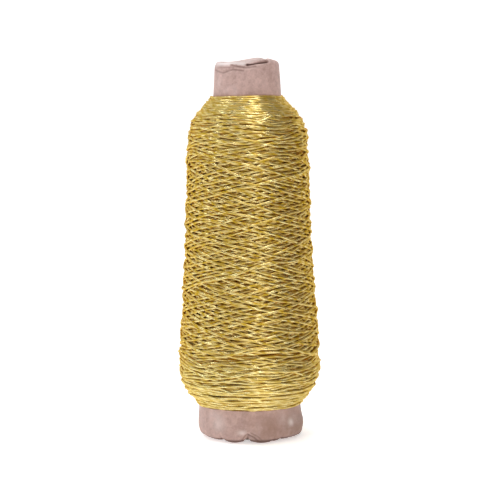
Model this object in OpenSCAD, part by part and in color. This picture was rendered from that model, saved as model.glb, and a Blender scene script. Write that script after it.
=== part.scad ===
// Cone of thread: a rolled paper cone with turned-in ends that carries a cross-wound thread package.
// Millimetres, +Z up. The origin is the middle of the base, on the surface that the cone stands on.

/* [Paper cone] */
// Length of the cone from base to nose
cone_h = 170; // [140:1:230]
// Outside diameter of the cone's wall at the base
base_d = 47.8; // [46:0.1:58]
// Outside diameter of the cone's wall at the nose
nose_d = 28.8; // [26:0.1:38]
// Thickness of the cover sheet
cover_t = 0.6; // [0.5:0.05:0.8]
// Thickness of the board sheet
board_t = 0.8; // [0.5:0.05:1]
// Thickness of the liner sheet
liner_t = 0.4; // [0.3:0.05:0.6]
// Width of the glued lap where the cover sheet's edge overlaps itself, at the base
lap_w = 11; // [6:0.5:16]
// Height of the step at the lap's thinned edge
lap_step = 0.25; // [0.1:0.05:0.4]
// Direction of the lap around the cone, in degrees from +X
lap_turn = 118; // [20:1:160]

/* [Turned-in ends] */
// Depth that the sheets are turned in at the nose
nose_tuck = 11; // [6:0.5:16]
// Clear gap inside the fold at the nose
nose_fold_gap = 1; // [0.6:0.1:1.6]
// Depth that the sheets are turned in at the base
base_tuck = 9; // [6:0.5:12]
// Clear gap inside the fold at the base
base_fold_gap = 3.2; // [2.8:0.1:4]
// Outside radius of the rolled edge at the base
base_roll_r = 2.4; // [2.2:0.05:2.7]
// Number of pleats gathered around the base
pleats = 13; // [8:1:18]
// Depth of a pleat in the rolled edge
pleat_depth = 1; // [0.7:0.05:1.1]
// Uneven spacing of the pleats, in degrees either way
pleat_drift = 6; // [0:0.5:8]

/* [Thread package] */
// Bare paper below the thread
bare_base = 14.7; // [10:0.1:25]
// Bare paper above the thread
bare_nose = 16; // [10:0.1:25]
// Greatest diameter of the package
belly_d = 64.8; // [60:0.1:76]
// Height of the rounded underside below the greatest diameter
underside_h = 19.3; // [14:0.1:24]
// Diameter of the package where its shoulder begins
shoulder_d = 55; // [50:0.1:60]
// Height of the rounded shoulder
shoulder_h = 19.5; // [12:0.1:24]
// How late the flank flares towards the belly, where 1 is a straight taper
flare = 1.7; // [1.2:0.05:2.2]

/* [Outer winding] */
// Diameter of the thread
thread_d = 1.2; // [0.8:0.05:1.4]
// Whole turns laid on the way up
wraps = 11; // [5:1:11]
// Clear gap where the thread crosses itself
cross_gap = 0.5; // [0.45:0.05:0.8]
// Clear gap between the thread and the package below it
seat_gap = 0.05; // [0.03:0.01:0.15]
// Depth of the plain core below the package's outline
core_sink = 2.2; // [1.7:0.1:2.8]
// Bare edge of the package beyond the first and the last turn
edge_margin = 4; // [3:0.5:7]
// Radius of the bend where an end of the thread dives into the package
dive_r = 1.2; // [0.9:0.1:1.6]
// Clear gap around a thread end in its pocket
pocket_gap = 0.15; // [0.1:0.05:0.3]

/* [Hidden] */
$fn = 96;

paper_colour = "#c6a9a0";
board_colour = "#a8988c";
liner_colour = "#cdb8a8";
package_colour = "#a98a3e";
thread_colour = "#d2ad55";

arc_step = 15;
flank_steps = 16;
cut_over = 5;
thread_sides = 6;
loop_rings = 24;
dive_steps = 4;
end_turn = 0.75;
corner_tilt = 45;
drift_waves = 5;

// Wall of the cone: its taper, and the depth of each sheet below the outside
taper = atan2((base_d - nose_d) / 2, cone_h);
board_depth = cover_t;
liner_depth = board_depth + board_t;
wall_t = liner_depth + liner_t;
fold_t = liner_depth;
function wall_r(z) = base_d / 2 - z * tan(taper);

// Fold at the nose: a half-round roll that ends in a straight round neck
nose_roll_r = fold_t + nose_fold_gap / 2;
nose_roll_z = cone_h - nose_roll_r;
nose_roll_x = wall_r(nose_roll_z) - nose_roll_r / cos(taper);
nose_bore_r = nose_roll_x - nose_roll_r;

// Fold at the base: two round corners with the flat that the cone stands on between them
base_fold_w = 2 * fold_t + base_fold_gap;
base_flat = base_fold_w - 2 * base_roll_r;
outer_roll_x = wall_r(base_roll_r) - base_roll_r / cos(taper);
inner_roll_x = outer_roll_x - base_flat;
base_bore_r = inner_roll_x - base_roll_r;

// Pleats: their directions, and the cover's thickness along the middle of a valley
pleat_turns = [for (i = [0:pleats - 1])
    let (turn = 360 * i / pleats) turn + pleat_drift * sin(drift_waves * turn)];
valley_t = cover_t * sqrt(2);

// Package: the heights where it begins, is widest, starts its shoulder and ends
thread_low = bare_base;
thread_high = cone_h - bare_nose;
belly_z = thread_low + underside_h;
shoulder_z = thread_high - shoulder_h;

// Winding: turns each way, ring angle and the lift that carries one turn over another
turns = wraps + end_turn;
ring_turn = 360 / loop_rings;
top_turn = turns * 360;
cross_lift = thread_d + cross_gap;

function arc(x, z, r, from, to) =
    let (n = max(2, ceil(abs(to - from) / arc_step)))
    [for (i = [0:n]) let (a = from + (to - from) * i / n) [x + r * cos(a), z + r * sin(a)]];

function reversed(list) = [for (i = [len(list) - 1:-1:0]) list[i]];

// Outline of a sheet's face at a depth below the outside, from the neck over the wall to the base's lip
function sheet_face(depth) = concat(
    [[nose_bore_r + depth, cone_h - nose_tuck]],
    arc(nose_roll_x, nose_roll_z, nose_roll_r - depth, 180, taper),
    arc(outer_roll_x, base_roll_r, base_roll_r - depth, taper, -90),
    arc(inner_roll_x, base_roll_r, base_roll_r - depth, -90, -180),
    [[base_bore_r + depth, base_tuck]]);

// Outline of the package at a depth below its outside, from the base side up to the nose side
function arc_turn(dr, dz) = 2 * atan2(dr, dz);
function arc_r(dr, dz) = (dr * dr + dz * dz) / (2 * dr);
function low_z(sink) = thread_low + sink;
function high_z(sink) = thread_high - sink;
function low_dr(sink) = belly_d / 2 - sink - wall_r(low_z(sink));
function high_dr(sink) = shoulder_d / 2 - sink - wall_r(high_z(sink));
function low_dz(sink) = belly_z - low_z(sink);
function high_dz(sink) = high_z(sink) - shoulder_z;
function low_r(sink) = arc_r(low_dr(sink), low_dz(sink));
function high_r(sink) = arc_r(high_dr(sink), high_dz(sink));
function low_turn(sink) = arc_turn(low_dr(sink), low_dz(sink));
function high_turn(sink) = arc_turn(high_dr(sink), high_dz(sink));
function flank_r(z, sink) = shoulder_d / 2 - sink
    + (belly_d - shoulder_d) / 2 * pow((shoulder_z - z) / (shoulder_z - belly_z), flare);
function flank_slope(z) = (belly_d - shoulder_d) / 2 * flare / (shoulder_z - belly_z)
    * pow((shoulder_z - z) / (shoulder_z - belly_z), flare - 1);

function package_face(sink) = concat(
    arc(belly_d / 2 - sink - low_r(sink), belly_z, low_r(sink), -low_turn(sink), 0),
    [for (i = [1:flank_steps - 1]) let (z = belly_z + (shoulder_z - belly_z) * i / flank_steps)
        [flank_r(z, sink), z]],
    arc(shoulder_d / 2 - sink - high_r(sink), shoulder_z, high_r(sink), 0, high_turn(sink)));

// Lengths along the core's outline: its underside, its flank and its shoulder
underside_len = low_r(core_sink) * low_turn(core_sink) * PI / 180;
flank_len = shoulder_z - belly_z;
shoulder_len = high_r(core_sink) * high_turn(core_sink) * PI / 180;
first_s = edge_margin;
last_s = underside_len + flank_len + shoulder_len - edge_margin;

// Place on the core at a length along its outline: [radius, height, angle of the outward normal]
function core_at(s) =
    s < underside_len ?
        let (a = -low_turn(core_sink) * (1 - s / underside_len), r = low_r(core_sink))
        [belly_d / 2 - core_sink - r * (1 - cos(a)), belly_z + r * sin(a), a]
    : s < underside_len + flank_len ?
        let (z = belly_z + s - underside_len)
        [flank_r(z, core_sink), z, atan(flank_slope(z))]
    :
        let (a = high_turn(core_sink) * (s - underside_len - flank_len) / shoulder_len,
             r = high_r(core_sink))
        [shoulder_d / 2 - core_sink - r * (1 - cos(a)), shoulder_z + r * sin(a), a];

// Height of the thread's middle above the core, with room for the chords between its rings
function seat_h(r) = thread_d / 2 + seat_gap + r * (1 / cos(ring_turn / 2) - 1);

// The route climbs to the shoulder, turns back over half a turn and comes down across itself
half_share = 90 / top_turn;
function climb(u) = (u < half_share ? u * u / (2 * half_share) : u - half_share / 2) / (1 - half_share / 2);
function route_s(turn) = last_s - (last_s - first_s) * climb(abs(turn - top_turn) / top_turn);
function lift(turn) = let (past = turn - top_turn)
    past <= 0 ? 0 : past < 180 ? (1 - cos(past)) / 2 : (1 + cos(2 * past)) / 2;

function normal_at(turn) = let (a = core_at(route_s(turn))[2])
    [cos(a) * cos(turn), cos(a) * sin(turn), sin(a)];
function along_at(turn) = [-sin(turn), cos(turn), 0];
function meridian_at(turn) = cross(normal_at(turn), along_at(turn));
function surface_at(turn) = let (c = core_at(route_s(turn))) [c[0] * cos(turn), c[0] * sin(turn), c[1]];
function route_at(turn) = surface_at(turn)
    + normal_at(turn) * (seat_h(core_at(route_s(turn))[0]) + lift(turn) * cross_lift);

// An end of the thread: straight out of its pocket for one diameter, then a bend onto the core
function dive_floor(turn) = seat_h(core_at(route_s(turn))[0]) - dive_r - thread_d;
function dive_at(turn, way, bend) = surface_at(turn)
    + normal_at(turn) * (dive_floor(turn) + thread_d + dive_r * sin(bend))
    + along_at(turn) * way * dive_r * (1 - cos(bend));
function dive(turn, way) = concat(
    [surface_at(turn) + normal_at(turn) * dive_floor(turn)],
    [for (i = [0:dive_steps]) dive_at(turn, way, 90 * i / dive_steps)]);

first_turn = 0;
final_turn = 2 * top_turn;
ring_turns = [for (i = [1:round(final_turn / ring_turn) - 1]) i * ring_turn];
route = concat(
    dive(first_turn, 1),
    [for (turn = ring_turns) route_at(turn)],
    reversed(dive(final_turn, -1)));
route_turns = concat(
    [for (point = dive(first_turn, 1)) first_turn],
    ring_turns,
    [for (point = dive(final_turn, -1)) final_turn]);

// Least clear gap between stretches of the thread that lie more than a third of a turn apart
function least_gap(points, apart) = min([for (i = [0:len(points) - 1 - apart])
    min([for (j = [i + apart:len(points) - 1]) norm(points[i] - points[j])])]) - thread_d;

function unit(v) = v / norm(v);

// Tube of straight stretches between rings that stand square to the route
module thread_tube(points, turns_at) {
    last = len(points) - 1;
    rings = [for (i = [0:last])
        let (heading = i == 0 ? unit(points[1] - points[0])
                : i == last ? unit(points[last] - points[last - 1])
                : unit(unit(points[i + 1] - points[i]) + unit(points[i] - points[i - 1])),
             side = meridian_at(turns_at[i]),
             across = unit(side - heading * (side * heading)),
             outward = cross(heading, across))
        for (k = [0:thread_sides - 1])
            let (a = 360 * k / thread_sides)
            points[i] + (across * cos(a) + outward * sin(a)) * thread_d / 2];
    function at(i, k) = i * thread_sides + k % thread_sides;
    walls = [for (i = [0:last - 1], k = [0:thread_sides - 1])
        each [[at(i, k), at(i + 1, k), at(i + 1, k + 1)], [at(i, k), at(i + 1, k + 1), at(i, k + 1)]]];
    ends = [for (k = [1:thread_sides - 2])
        each [[at(0, 0), at(0, k), at(0, k + 1)], [at(last, 0), at(last, k + 1), at(last, k)]]];
    polyhedron(points = rings, faces = concat(walls, ends));
}

// A sheet of the cone between two depths below the outside, turned in at both ends
module folded_sheet(outer, inner) {
    rotate_extrude() polygon(concat(sheet_face(outer), reversed(sheet_face(inner))));
}

// The lap's raised strip, from a depth in the cover up to its step
module lap_strip(depth) {
    low = base_roll_r;
    high = nose_roll_z;
    span = lap_w / (base_d / 2) * 180 / PI;
    rotate([0, 0, lap_turn - span / 2]) rotate_extrude(angle = span)
        polygon([
            [wall_r(low) - depth, low],
            [wall_r(low) + lap_step, low],
            [wall_r(high) + lap_step, high],
            [wall_r(high) - depth, high]]);
}

// The space outside a sharp valley pressed across the outer corner of the rolled base
module pleat_valley(turn, depth) {
    rotate([0, 0, turn]) translate([outer_roll_x, 0, base_roll_r]) rotate([0, corner_tilt, 0])
        translate([base_roll_r - depth, 0, -base_roll_r])
            linear_extrude(2 * base_roll_r) rotate(-corner_tilt) square(2 * base_roll_r);
}

// The rolled corner of the base, filled from the middle of the cover sheet to past its centre
module base_corner() {
    half = cover_t / 2;
    rotate_extrude() polygon(concat(
        [[outer_roll_x - half, base_roll_r + half]],
        arc(outer_roll_x, base_roll_r, base_roll_r - half, -90 - arc_step, taper + arc_step)));
}

// Folded cover sheet, pressed into a valley at each pleat
module pleated_cover() {
    difference() {
        union() {
            folded_sheet(0, board_depth);
            intersection() {
                base_corner();
                for (turn = pleat_turns) pleat_valley(turn, pleat_depth + valley_t);
            }
        }
        for (turn = pleat_turns) pleat_valley(turn, pleat_depth);
    }
}

module cover_ply() {
    color(paper_colour) union() {
        pleated_cover();
        lap_strip(cover_t / 2);
    }
}

// The board is notched at each pleat, so that the cover can fold into it
module board_ply() {
    color(board_colour) difference() {
        folded_sheet(board_depth, liner_depth);
        for (turn = pleat_turns) pleat_valley(turn, pleat_depth + valley_t);
    }
}

module liner_ply() {
    low = base_tuck;
    high = cone_h - nose_tuck;
    outer = liner_depth / cos(taper);
    inner = wall_t / cos(taper);
    color(liner_colour) rotate_extrude()
        polygon([
            [wall_r(low) - inner, low],
            [wall_r(low) - outer, low],
            [wall_r(high) - outer, high],
            [wall_r(high) - inner, high]]);
}

// Pocket in the package that an end of the thread stands in
module thread_pocket(turn, way) {
    place = core_at(route_s(turn));
    half = thread_d / 2 + pocket_gap;
    rotate([0, 0, turn]) translate([place[0], 0, place[1]]) rotate([0, -place[2], 0])
        translate([dive_floor(turn), way > 0 ? -half : -dive_r, -half])
            cube([cut_over, half + dive_r, 2 * half]);
}

module thread_package() {
    face = package_face(core_sink);
    color(package_colour) difference() {
        rotate_extrude() polygon(face);
        lap_strip(cover_t);
        thread_pocket(first_turn, 1);
        thread_pocket(final_turn, -1);
    }
}

module outer_winding() {
    echo(least_gap = least_gap(route, loop_rings / 3));
    color(thread_colour) thread_tube(route, route_turns);
}

cover_ply();
board_ply();
liner_ply();
thread_package();
outer_winding();
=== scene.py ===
"""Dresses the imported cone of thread: a pleated paper cone that carries a cross-wound gold thread."""

import logging
import math
from collections.abc import Mapping, Sequence
from dataclasses import dataclass
from enum import Enum

import bpy
import numpy as np
from mathutils import Euler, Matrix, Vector


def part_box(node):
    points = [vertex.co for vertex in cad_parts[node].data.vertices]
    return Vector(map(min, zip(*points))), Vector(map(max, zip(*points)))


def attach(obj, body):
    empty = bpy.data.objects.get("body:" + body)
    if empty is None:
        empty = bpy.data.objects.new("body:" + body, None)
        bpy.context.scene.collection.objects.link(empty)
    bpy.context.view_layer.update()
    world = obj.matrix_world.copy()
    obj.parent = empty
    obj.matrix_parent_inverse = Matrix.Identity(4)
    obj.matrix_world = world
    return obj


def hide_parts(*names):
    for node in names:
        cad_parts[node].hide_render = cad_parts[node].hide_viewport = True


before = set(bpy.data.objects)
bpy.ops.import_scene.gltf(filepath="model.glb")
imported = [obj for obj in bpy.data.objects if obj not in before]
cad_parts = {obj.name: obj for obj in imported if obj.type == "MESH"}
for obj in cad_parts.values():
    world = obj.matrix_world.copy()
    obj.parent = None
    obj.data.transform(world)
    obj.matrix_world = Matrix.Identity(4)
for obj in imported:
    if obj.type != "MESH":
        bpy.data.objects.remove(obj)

MM = 0.001
TURN = 2 * math.pi
GOLDEN = (math.sqrt(5) - 1) / 2
BODY = "root"
BAKE_MAP = "OFBake"
WELD = 0.001 * MM
CHUNK = 4096
SINE_RANGE = (-1.0, 1.0)
LOG = logging.getLogger("cone_of_thread")

Colour = tuple[float, float, float]
Place = tuple[float, float, float]
Point = tuple[float, float]
Range = tuple[float, float]


class Slot(Enum):
    """Names of the record's material slots, which nothing in this script uses."""

    COVER = "cover_paper"
    BOARD = "board_paper"
    INNER = "inner_thread"
    THREAD = "gold_thread"


def smooth_step(value: np.ndarray | float) -> np.ndarray:
    """Eases a value from 0 to 1, flat at both ends."""
    inside = np.clip(value, 0.0, 1.0)
    return inside * inside * (3 - 2 * inside)


def smoothed(values: np.ndarray, width: int) -> np.ndarray:
    """Averages a run of values under a bell, and mirrors the run at both ends.

    Args:
        values: The run to smooth.
        width: Length of the bell in samples.

    Returns:
        A run of the same length.
    """
    bell = np.hanning(width + 2)[1:-1]
    room = (width // 2, width - 1 - width // 2)
    return np.convolve(np.pad(values, room, mode="reflect"), bell / bell.sum(), "valid")


@dataclass(frozen=True)
class ConeWall:
    """Straight outer wall of the paper cone."""

    height: float
    base_radius: float = 23.9 * MM
    nose_radius: float = 14.4 * MM

    @property
    def taper(self) -> float:
        """Angle of the wall to the axis."""
        return math.atan2(self.base_radius - self.nose_radius, self.height)

    def radius(self, z: np.ndarray | float) -> np.ndarray | float:
        """Radius of the wall at a height."""
        return self.base_radius - z * math.tan(self.taper)


@dataclass(frozen=True)
class PackageOutline:
    """Outline of the wound package, from its lower edge on the paper to its upper edge."""

    wall: ConeWall
    low: float = 14.7 * MM
    high: float = 154.0 * MM
    belly_radius: float = 32.75 * MM
    belly_z: float = 35.0 * MM
    shoulder_radius: float = 27.75 * MM
    shoulder_z: float = 132.5 * MM
    flare: float = 1.7

    def _round_end(self, z: np.ndarray, edge_z: float, widest: float, widest_z: float) -> np.ndarray:
        """Radius on the arc that leaves the flank upright and meets the paper at an edge.

        Args:
            z: Heights.
            edge_z: Height of the edge on the paper.
            widest: Radius where the arc leaves the flank.
            widest_z: Height of that place.

        Returns:
            One radius for each height.
        """
        rise, run = widest - self.wall.radius(edge_z), abs(edge_z - widest_z)
        arc = (rise * rise + run * run) / (2 * rise)
        return widest - arc + np.sqrt(np.maximum(arc * arc - (z - widest_z) ** 2, 0.0))

    def radius(self, z: np.ndarray) -> np.ndarray:
        """Radius of the package's outside, or of the bare paper above and below it.

        Args:
            z: Heights.

        Returns:
            One radius for each height.
        """
        below = np.clip((self.shoulder_z - z) / (self.shoulder_z - self.belly_z), 0.0, 1.0)
        flank = self.shoulder_radius + (self.belly_radius - self.shoulder_radius) * below**self.flare
        underside = self._round_end(z, self.low, self.belly_radius, self.belly_z)
        shoulder = self._round_end(z, self.high, self.shoulder_radius, self.shoulder_z)
        package = np.where(z < self.belly_z, underside, np.where(z > self.shoulder_z, shoulder, flank))
        wound = (z > self.low) & (z < self.high)
        paper = self.wall.radius(z)
        return np.where(wound, np.maximum(package, paper), paper)


@dataclass(frozen=True)
class WindingGuide:
    """How the winder guides the thread to and fro along the package."""

    traverses: int = 95
    depth: float = 2.6 * MM
    depth_zone: float = 16.0 * MM
    depth_power: float = 0.5
    middle_angle: float = math.radians(12.0)
    end_angle: float = math.radians(3.0)
    edge_angle: float = math.radians(1.2)
    middle_zone: float = 44.0 * MM
    edge_zone: float = 5.0 * MM
    edge_settle: float = 1.1 * MM
    settle_zone: float = 20.0 * MM
    rim_settle: float = 0.45
    edge_margin: float = 0.3 * MM
    tail_direction: float = 0.25 * TURN
    level_pitch: float = 1.15 * MM
    level_zone: float = 9.0 * MM
    level_wander: float = 0.12
    phase_jitter: float = 0.02 * TURN
    fill_jitter: float = 0.06
    look_back: float = 1.0 * TURN
    down_phase: float = 0.37 * TURN
    turn_back: float = 0.3
    wander: float = 0.3 * MM
    wander_waves: int = 8
    wander_rates: Range = (0.5, 2.6)
    slide_gain: float = 1.2
    slide_most: float = 2.5 * MM
    slide_passes: int = 10
    slide_bell: float = 0.10
    seed: int = 7

    def angle(self, edge_distance: np.ndarray) -> np.ndarray:
        """Angle of the thread to the level.

        Args:
            edge_distance: Distances from the nearer edge of the package.

        Returns:
            One angle for each distance.
        """
        near = smooth_step(edge_distance / self.edge_zone)
        far = smooth_step((edge_distance - self.edge_zone / 2) / self.middle_zone)
        ends = self.end_angle - self.edge_angle
        return self.edge_angle + ends * near + (self.middle_angle - self.end_angle) * far

    def closing_angle(self, edge_distance: np.ndarray, radius: np.ndarray) -> np.ndarray:
        """Angle of the last traverse, which lays level turns side by side at both ends.

        Args:
            edge_distance: Distances from the nearer edge of the package.
            radius: Radii of the package there.

        Returns:
            One angle for each distance.
        """
        level = np.arctan(self.level_pitch / (TURN * radius))
        away = smooth_step((edge_distance - self.level_zone) / self.middle_zone)
        return level + (self.middle_angle - level) * away


@dataclass(frozen=True)
class ThreadSize:
    """The thread, flattened a little, and its bed: the room that it keeps free of other turns."""

    width: float = 1.20 * MM
    thickness: float = 1.12 * MM
    bed_width: float = 1.12 * MM
    bed_thickness: float = 0.46 * MM
    twist: float = 7.0 * MM

    @property
    def sink(self) -> float:
        """Depth that a turn sinks into the turns below it."""
        return (self.thickness - self.bed_thickness) / 2


@dataclass
class ThreadRoute:
    """The middle of the laid thread: turning angle, height and radius at each step."""

    angle: np.ndarray
    z: np.ndarray
    radius: np.ndarray

    def points(self, every: int) -> np.ndarray:
        """Places on the route.

        Args:
            every: Steps from one place to the next.

        Returns:
            An array of places, three numbers each.
        """
        angle, z, radius = self.angle[::every], self.z[::every], self.radius[::every]
        return np.stack([radius * np.cos(angle), radius * np.sin(angle), z], axis=1)


class Winder:
    """Lays one unbroken thread on the package, turn by turn, and keeps the height it builds up.

    The package is unrolled into columns, one for each direction, and rows, one for each length along
    its outline. Heights are measured square to the outline, and are negative below it. The thread
    slides off high places, rests on what lies below it and is pulled straight between them.
    """

    COLUMNS = 720
    ROW = 0.2 * MM
    TABLE = 4001
    BLUR_ROWS = 4
    BLUR_COLUMNS = 10
    SLOPE_ROWS = 3
    LOOK_PLACES = 24
    TAIL = 60
    PULLS = (32, 24, 16, 12, 8, 6, 4, 3, 2, 1)
    PULL_PASSES = 3
    THIN_FILL = 0.9 * MM
    NOWHERE = -1.0

    def __init__(self, outline: PackageOutline, guide: WindingGuide, thread: ThreadSize) -> None:
        """Prepares the bare core.

        Args:
            outline: Outline that the finished package reaches.
            guide: Movement of the thread guide.
            thread: Sizes of the thread.
        """
        self.guide, self.thread = guide, thread
        self.rng = np.random.default_rng(guide.seed)
        self.step = TURN / self.COLUMNS
        self._measure(outline)
        self.rows = np.arange(0.0, self.length, self.ROW)
        self.core = -self.depth(self.rows)
        self.surface = np.repeat(self.core[:, None], self.COLUMNS, axis=1)
        rates = self.rng.uniform(*guide.wander_rates, guide.wander_waves)
        phases = self.rng.uniform(0.0, TURN, guide.wander_waves)
        self.waves = list(zip(rates, phases))

    def _measure(self, outline: PackageOutline) -> None:
        """Tabulates places, outward directions and turning along the outline.

        Args:
            outline: Outline of the package.
        """
        z = np.linspace(outline.low, outline.high, self.TABLE)
        radius = outline.radius(z)
        radius[[0, -1]] = outline.wall.radius(z[[0, -1]])
        lengths = np.hypot(np.diff(z), np.diff(radius))
        self.table_s = np.concatenate([[0.0], np.cumsum(lengths)])
        self.length = self.table_s[-1]
        self.table_z, self.table_r = z, radius
        lean = np.arctan2(-np.gradient(radius, self.table_s), np.gradient(z, self.table_s))
        self.table_out_r, self.table_out_z = np.cos(lean), np.sin(lean)
        aside = self._edge_distance(self.table_s)
        self.table_turn = self._turning(self.guide.angle(aside))
        self.closing_turn = self._turning(self.guide.closing_angle(aside, radius))

    def _turning(self, angle: np.ndarray) -> np.ndarray:
        """Turning that reaches each place of the outline, from the thread's angle there."""
        rate = 1 / (self.table_r * np.tan(angle))
        return np.concatenate([[0.0], np.cumsum(np.diff(self.table_s) * (rate[1:] + rate[:-1]) / 2)])

    def _edge_distance(self, s: np.ndarray) -> np.ndarray:
        """Distance to the nearer edge of the package."""
        return np.minimum(s, self.length - s)

    def _along(self, s: np.ndarray, table: np.ndarray) -> np.ndarray:
        """Looks lengths along the outline up in a table."""
        return np.interp(s, self.table_s, table)

    def depth(self, s: np.ndarray) -> np.ndarray:
        """Depth of the core below the outline.

        Args:
            s: Lengths along the outline.

        Returns:
            One depth for each length.
        """
        guide = self.guide
        share = np.clip(self._edge_distance(s) / guide.depth_zone, 0.0, 1.0)
        return guide.depth * share**guide.depth_power

    def place(self, s: np.ndarray, height: np.ndarray) -> tuple[np.ndarray, np.ndarray]:
        """Radius and height above the floor of places on the package.

        Args:
            s: Lengths along the outline.
            height: Heights square to the outline.

        Returns:
            The radii and the heights above the floor.
        """
        radius = self._along(s, self.table_r) + height * self._along(s, self.table_out_r)
        return radius, self._along(s, self.table_z) + height * self._along(s, self.table_out_z)

    def _settled(self, s: np.ndarray) -> np.ndarray:
        """Depth that turns sink into those below them, which is greatest near the edges.

        Args:
            s: Lengths along the outline.

        Returns:
            One depth for each length.
        """
        guide, aside = self.guide, self._edge_distance(s)
        near = 1 - smooth_step(aside / guide.settle_zone)
        rim = guide.rim_settle + (1 - guide.rim_settle) * smooth_step(aside / guide.edge_zone)
        return self.thread.sink + guide.edge_settle * near * rim

    def _fill(self) -> np.ndarray:
        """Share of the depth between core and outline that is filled, averaged over a small patch.

        Returns:
            One share for each row and column.
        """
        room = np.maximum(-self.core, self.THIN_FILL)
        fill = (self.surface - self.core[:, None]) / room[:, None]
        n = self.BLUR_ROWS
        total = np.cumsum(np.pad(fill, ((n + 1, n), (0, 0)), mode="edge"), axis=0)
        fill = (total[2 * n + 1 :] - total[: -2 * n - 1]) / (2 * n + 1)
        n = self.BLUR_COLUMNS
        total = np.cumsum(np.pad(fill, ((0, 0), (n + 1, n)), mode="wrap"), axis=1)
        return (total[:, 2 * n + 1 :] - total[:, : -2 * n - 1]) / (2 * n + 1)

    def _turn_at(self, s: float) -> float:
        """Turning that the guide needs to reach a length along the outline."""
        return float(self._along(s, self.table_turn))

    def _row_of(self, s: np.ndarray, spare: int = 0) -> np.ndarray:
        """Nearest row to each length, with spare rows on both sides of it."""
        return np.clip(np.round(s / self.ROW).astype(int), spare, len(self.rows) - 1 - spare)

    def _next_end(self, start: float, angle: float, phase_step: float, up: bool,
                  fill: np.ndarray) -> float:
        """Chooses where the guide turns back, so that the stretch to it crosses the emptiest places.

        Args:
            start: Turning at the last end.
            angle: Angle of the thread there.
            phase_step: How far the next traverse is turned against this one.
            up: Whether this traverse climbs.
            fill: Share of the depth that is filled.

        Returns:
            The turning at the next end.
        """
        guide = self.guide
        middle = self._turn_at(self.length / 2)
        if up:
            first, last = self.length - guide.middle_zone, self.length - guide.edge_margin
        else:
            first, last = guide.middle_zone, guide.edge_margin
        near, far = self._turn_at(first), self._turn_at(last)
        meeting = middle + (phase_step if up else -phase_step) / 2
        halves = np.arange(math.ceil((min(near, far) - meeting) / math.pi),
                           math.floor((max(near, far) - meeting) / math.pi) + 1)
        choices = meeting + math.pi * halves if len(halves) else np.array([(near + far) / 2])
        costs = []
        for choice in choices:
            look_from = choice - math.copysign(guide.look_back, choice - start)
            turning = np.linspace(look_from, choice, self.LOOK_PLACES)
            rows = self._row_of(np.interp(turning, self.table_turn, self.table_s))
            columns = ((angle + abs(turning - start)) / self.step).astype(int) % self.COLUMNS
            costs.append(fill[rows, columns].mean() + self.rng.normal(0.0, guide.fill_jitter))
        return float(choices[int(np.argmin(costs))])

    def _freedom(self, s: np.ndarray, closing: bool) -> np.ndarray:
        """Share of the usual wander and sliding that a turn has, which fades towards the edges.

        Args:
            s: Lengths along the outline.
            closing: Whether the last traverse is laid.

        Returns:
            One share for each length.
        """
        guide, aside = self.guide, self._edge_distance(s)
        share = smooth_step(aside / guide.edge_zone)
        if closing:
            away = smooth_step((aside - guide.level_zone) / guide.level_zone)
            share = share * (guide.level_wander + (1 - guide.level_wander) * away)
        return share

    def _guided(self, steps: np.ndarray, angles: Sequence[float], turns: Sequence[float],
                closing: bool) -> np.ndarray:
        """Course of one traverse as guided, with rounded turning points and a little wander.

        Args:
            steps: Step numbers of the traverse.
            angles: Angle of the thread at both ends.
            turns: Turning of the guide at both ends.
            closing: Whether it is the last traverse.

        Returns:
            A length along the outline for each step.
        """
        guide = self.guide
        angle = steps * self.step
        table = self.closing_turn if closing else self.table_turn
        s = np.interp(np.interp(angle, angles, turns), table, self.table_s)
        s = smoothed(s, int(self.COLUMNS * guide.turn_back))
        sway = sum(guide.wander * np.sin(rate * angle + phase) for rate, phase in self.waves)
        return s + sway * self._freedom(s, closing)

    def _slide(self, steps: np.ndarray, s: np.ndarray, fill: np.ndarray, closing: bool) -> np.ndarray:
        """Lets the thread slide sideways off high places.

        Args:
            steps: Step numbers of the traverse.
            s: Its course as guided.
            fill: Share of the depth that is filled.
            closing: Whether it is the last traverse.

        Returns:
            The course after sliding.
        """
        guide = self.guide
        bell = int(self.COLUMNS * guide.slide_bell)
        ends = smooth_step(np.minimum(steps - steps[0], steps[-1] - steps) / bell)
        ends = ends * self._freedom(s, closing)
        columns, move = steps % self.COLUMNS, np.zeros(len(s))
        reach = self.SLOPE_ROWS
        for _ in range(guide.slide_passes):
            row = self._row_of(s + move, reach)
            slope = (fill[row + reach, columns] - fill[row - reach, columns]) / (2 * reach * self.ROW)
            move = smoothed(move - guide.slide_gain * slope * guide.depth * MM, bell)
            move = np.clip(move, -guide.slide_most, guide.slide_most)
        return np.clip(s + move * ends, guide.edge_margin, self.length - guide.edge_margin)

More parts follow.
